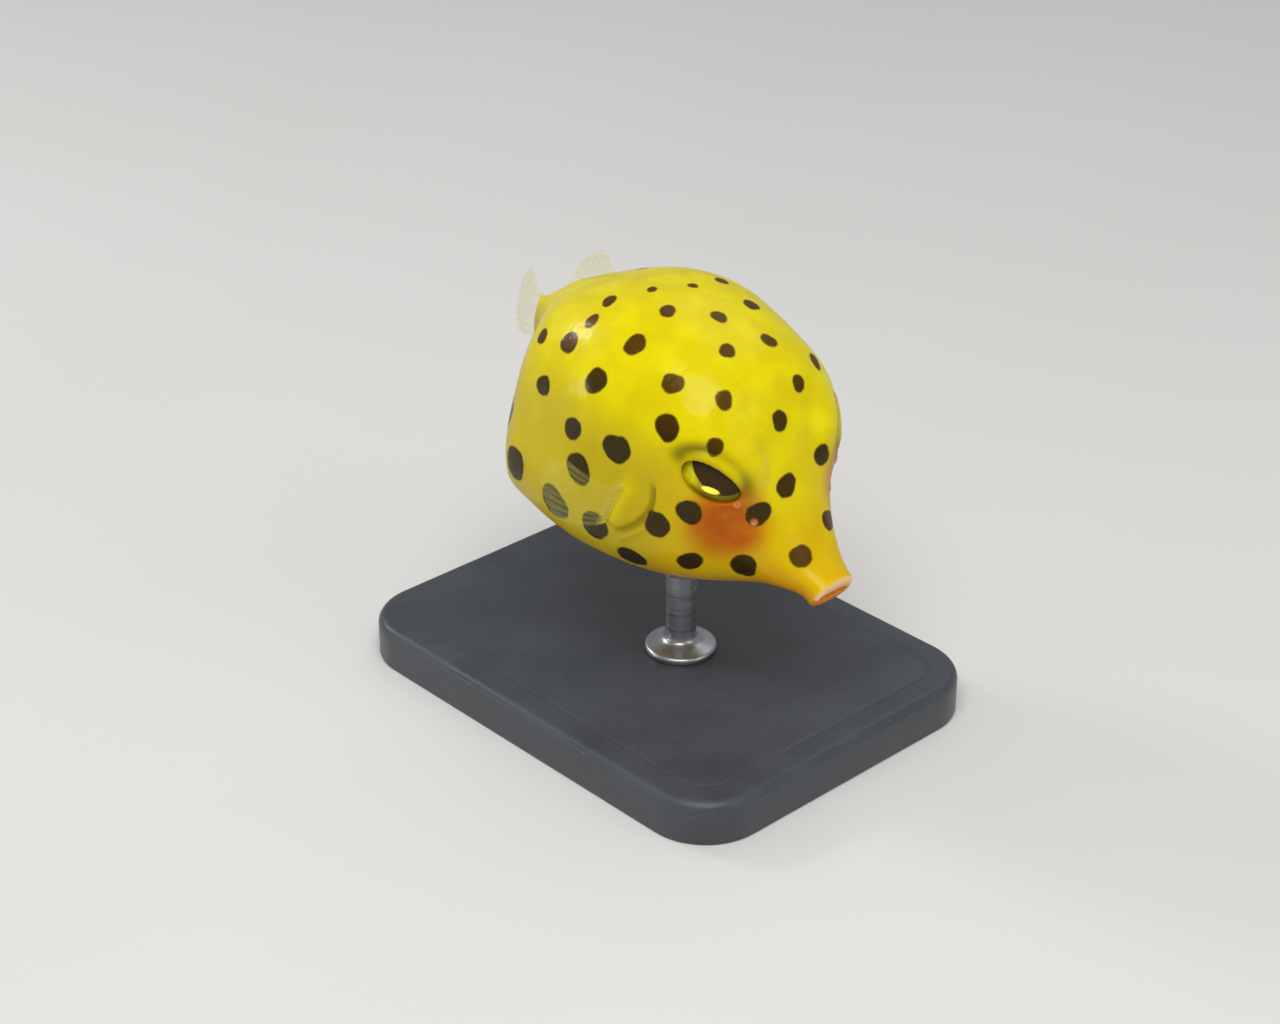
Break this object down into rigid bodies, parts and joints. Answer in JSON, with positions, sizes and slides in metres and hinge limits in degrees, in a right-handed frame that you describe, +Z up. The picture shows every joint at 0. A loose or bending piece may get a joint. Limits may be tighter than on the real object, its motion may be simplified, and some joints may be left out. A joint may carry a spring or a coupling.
{
  "type": "yellow boxfish, still museum model on a display stand",
  "caption": "Small juvenile yellow boxfish with dark spots, a still life-size model held nose down by a rod on a flat rounded stand.",
  "frame": {"origin": "centre of the stand's underside, on the floor plane", "axes": "+X the way the fish looks, along the long side of the stand; +Y the fish's left; +Z up"},
  "size_m": [0.04, 0.03, 0.0342],
  "materials": {
    "skin": "smooth wet-looking yellow skin with dark round spots",
    "lips": "smooth pink to orange lips",
    "eyes": "polished, dark pupil in a yellow-green iris under a clear cornea",
    "fins": "thin translucent membrane over fine rays",
    "stand_base": "satin dark slate grey",
    "stand_rod": "brushed steel"
  },
  "bodies": {
    "root": {"head": "skin", "trunk": "skin", "tail_peduncle": "skin", "lip_upper": "lips", "lip_lower": "lips", "eye_left": "eyes", "eye_right": "eyes", "caudal_fin": "fins", "dorsal_fin": "fins", "anal_fin": "fins", "pectoral_fin_left": "fins", "pectoral_fin_right": "fins", "stand_base": "stand_base", "stand_rod": "stand_rod"}
  },
  "joints": []
}
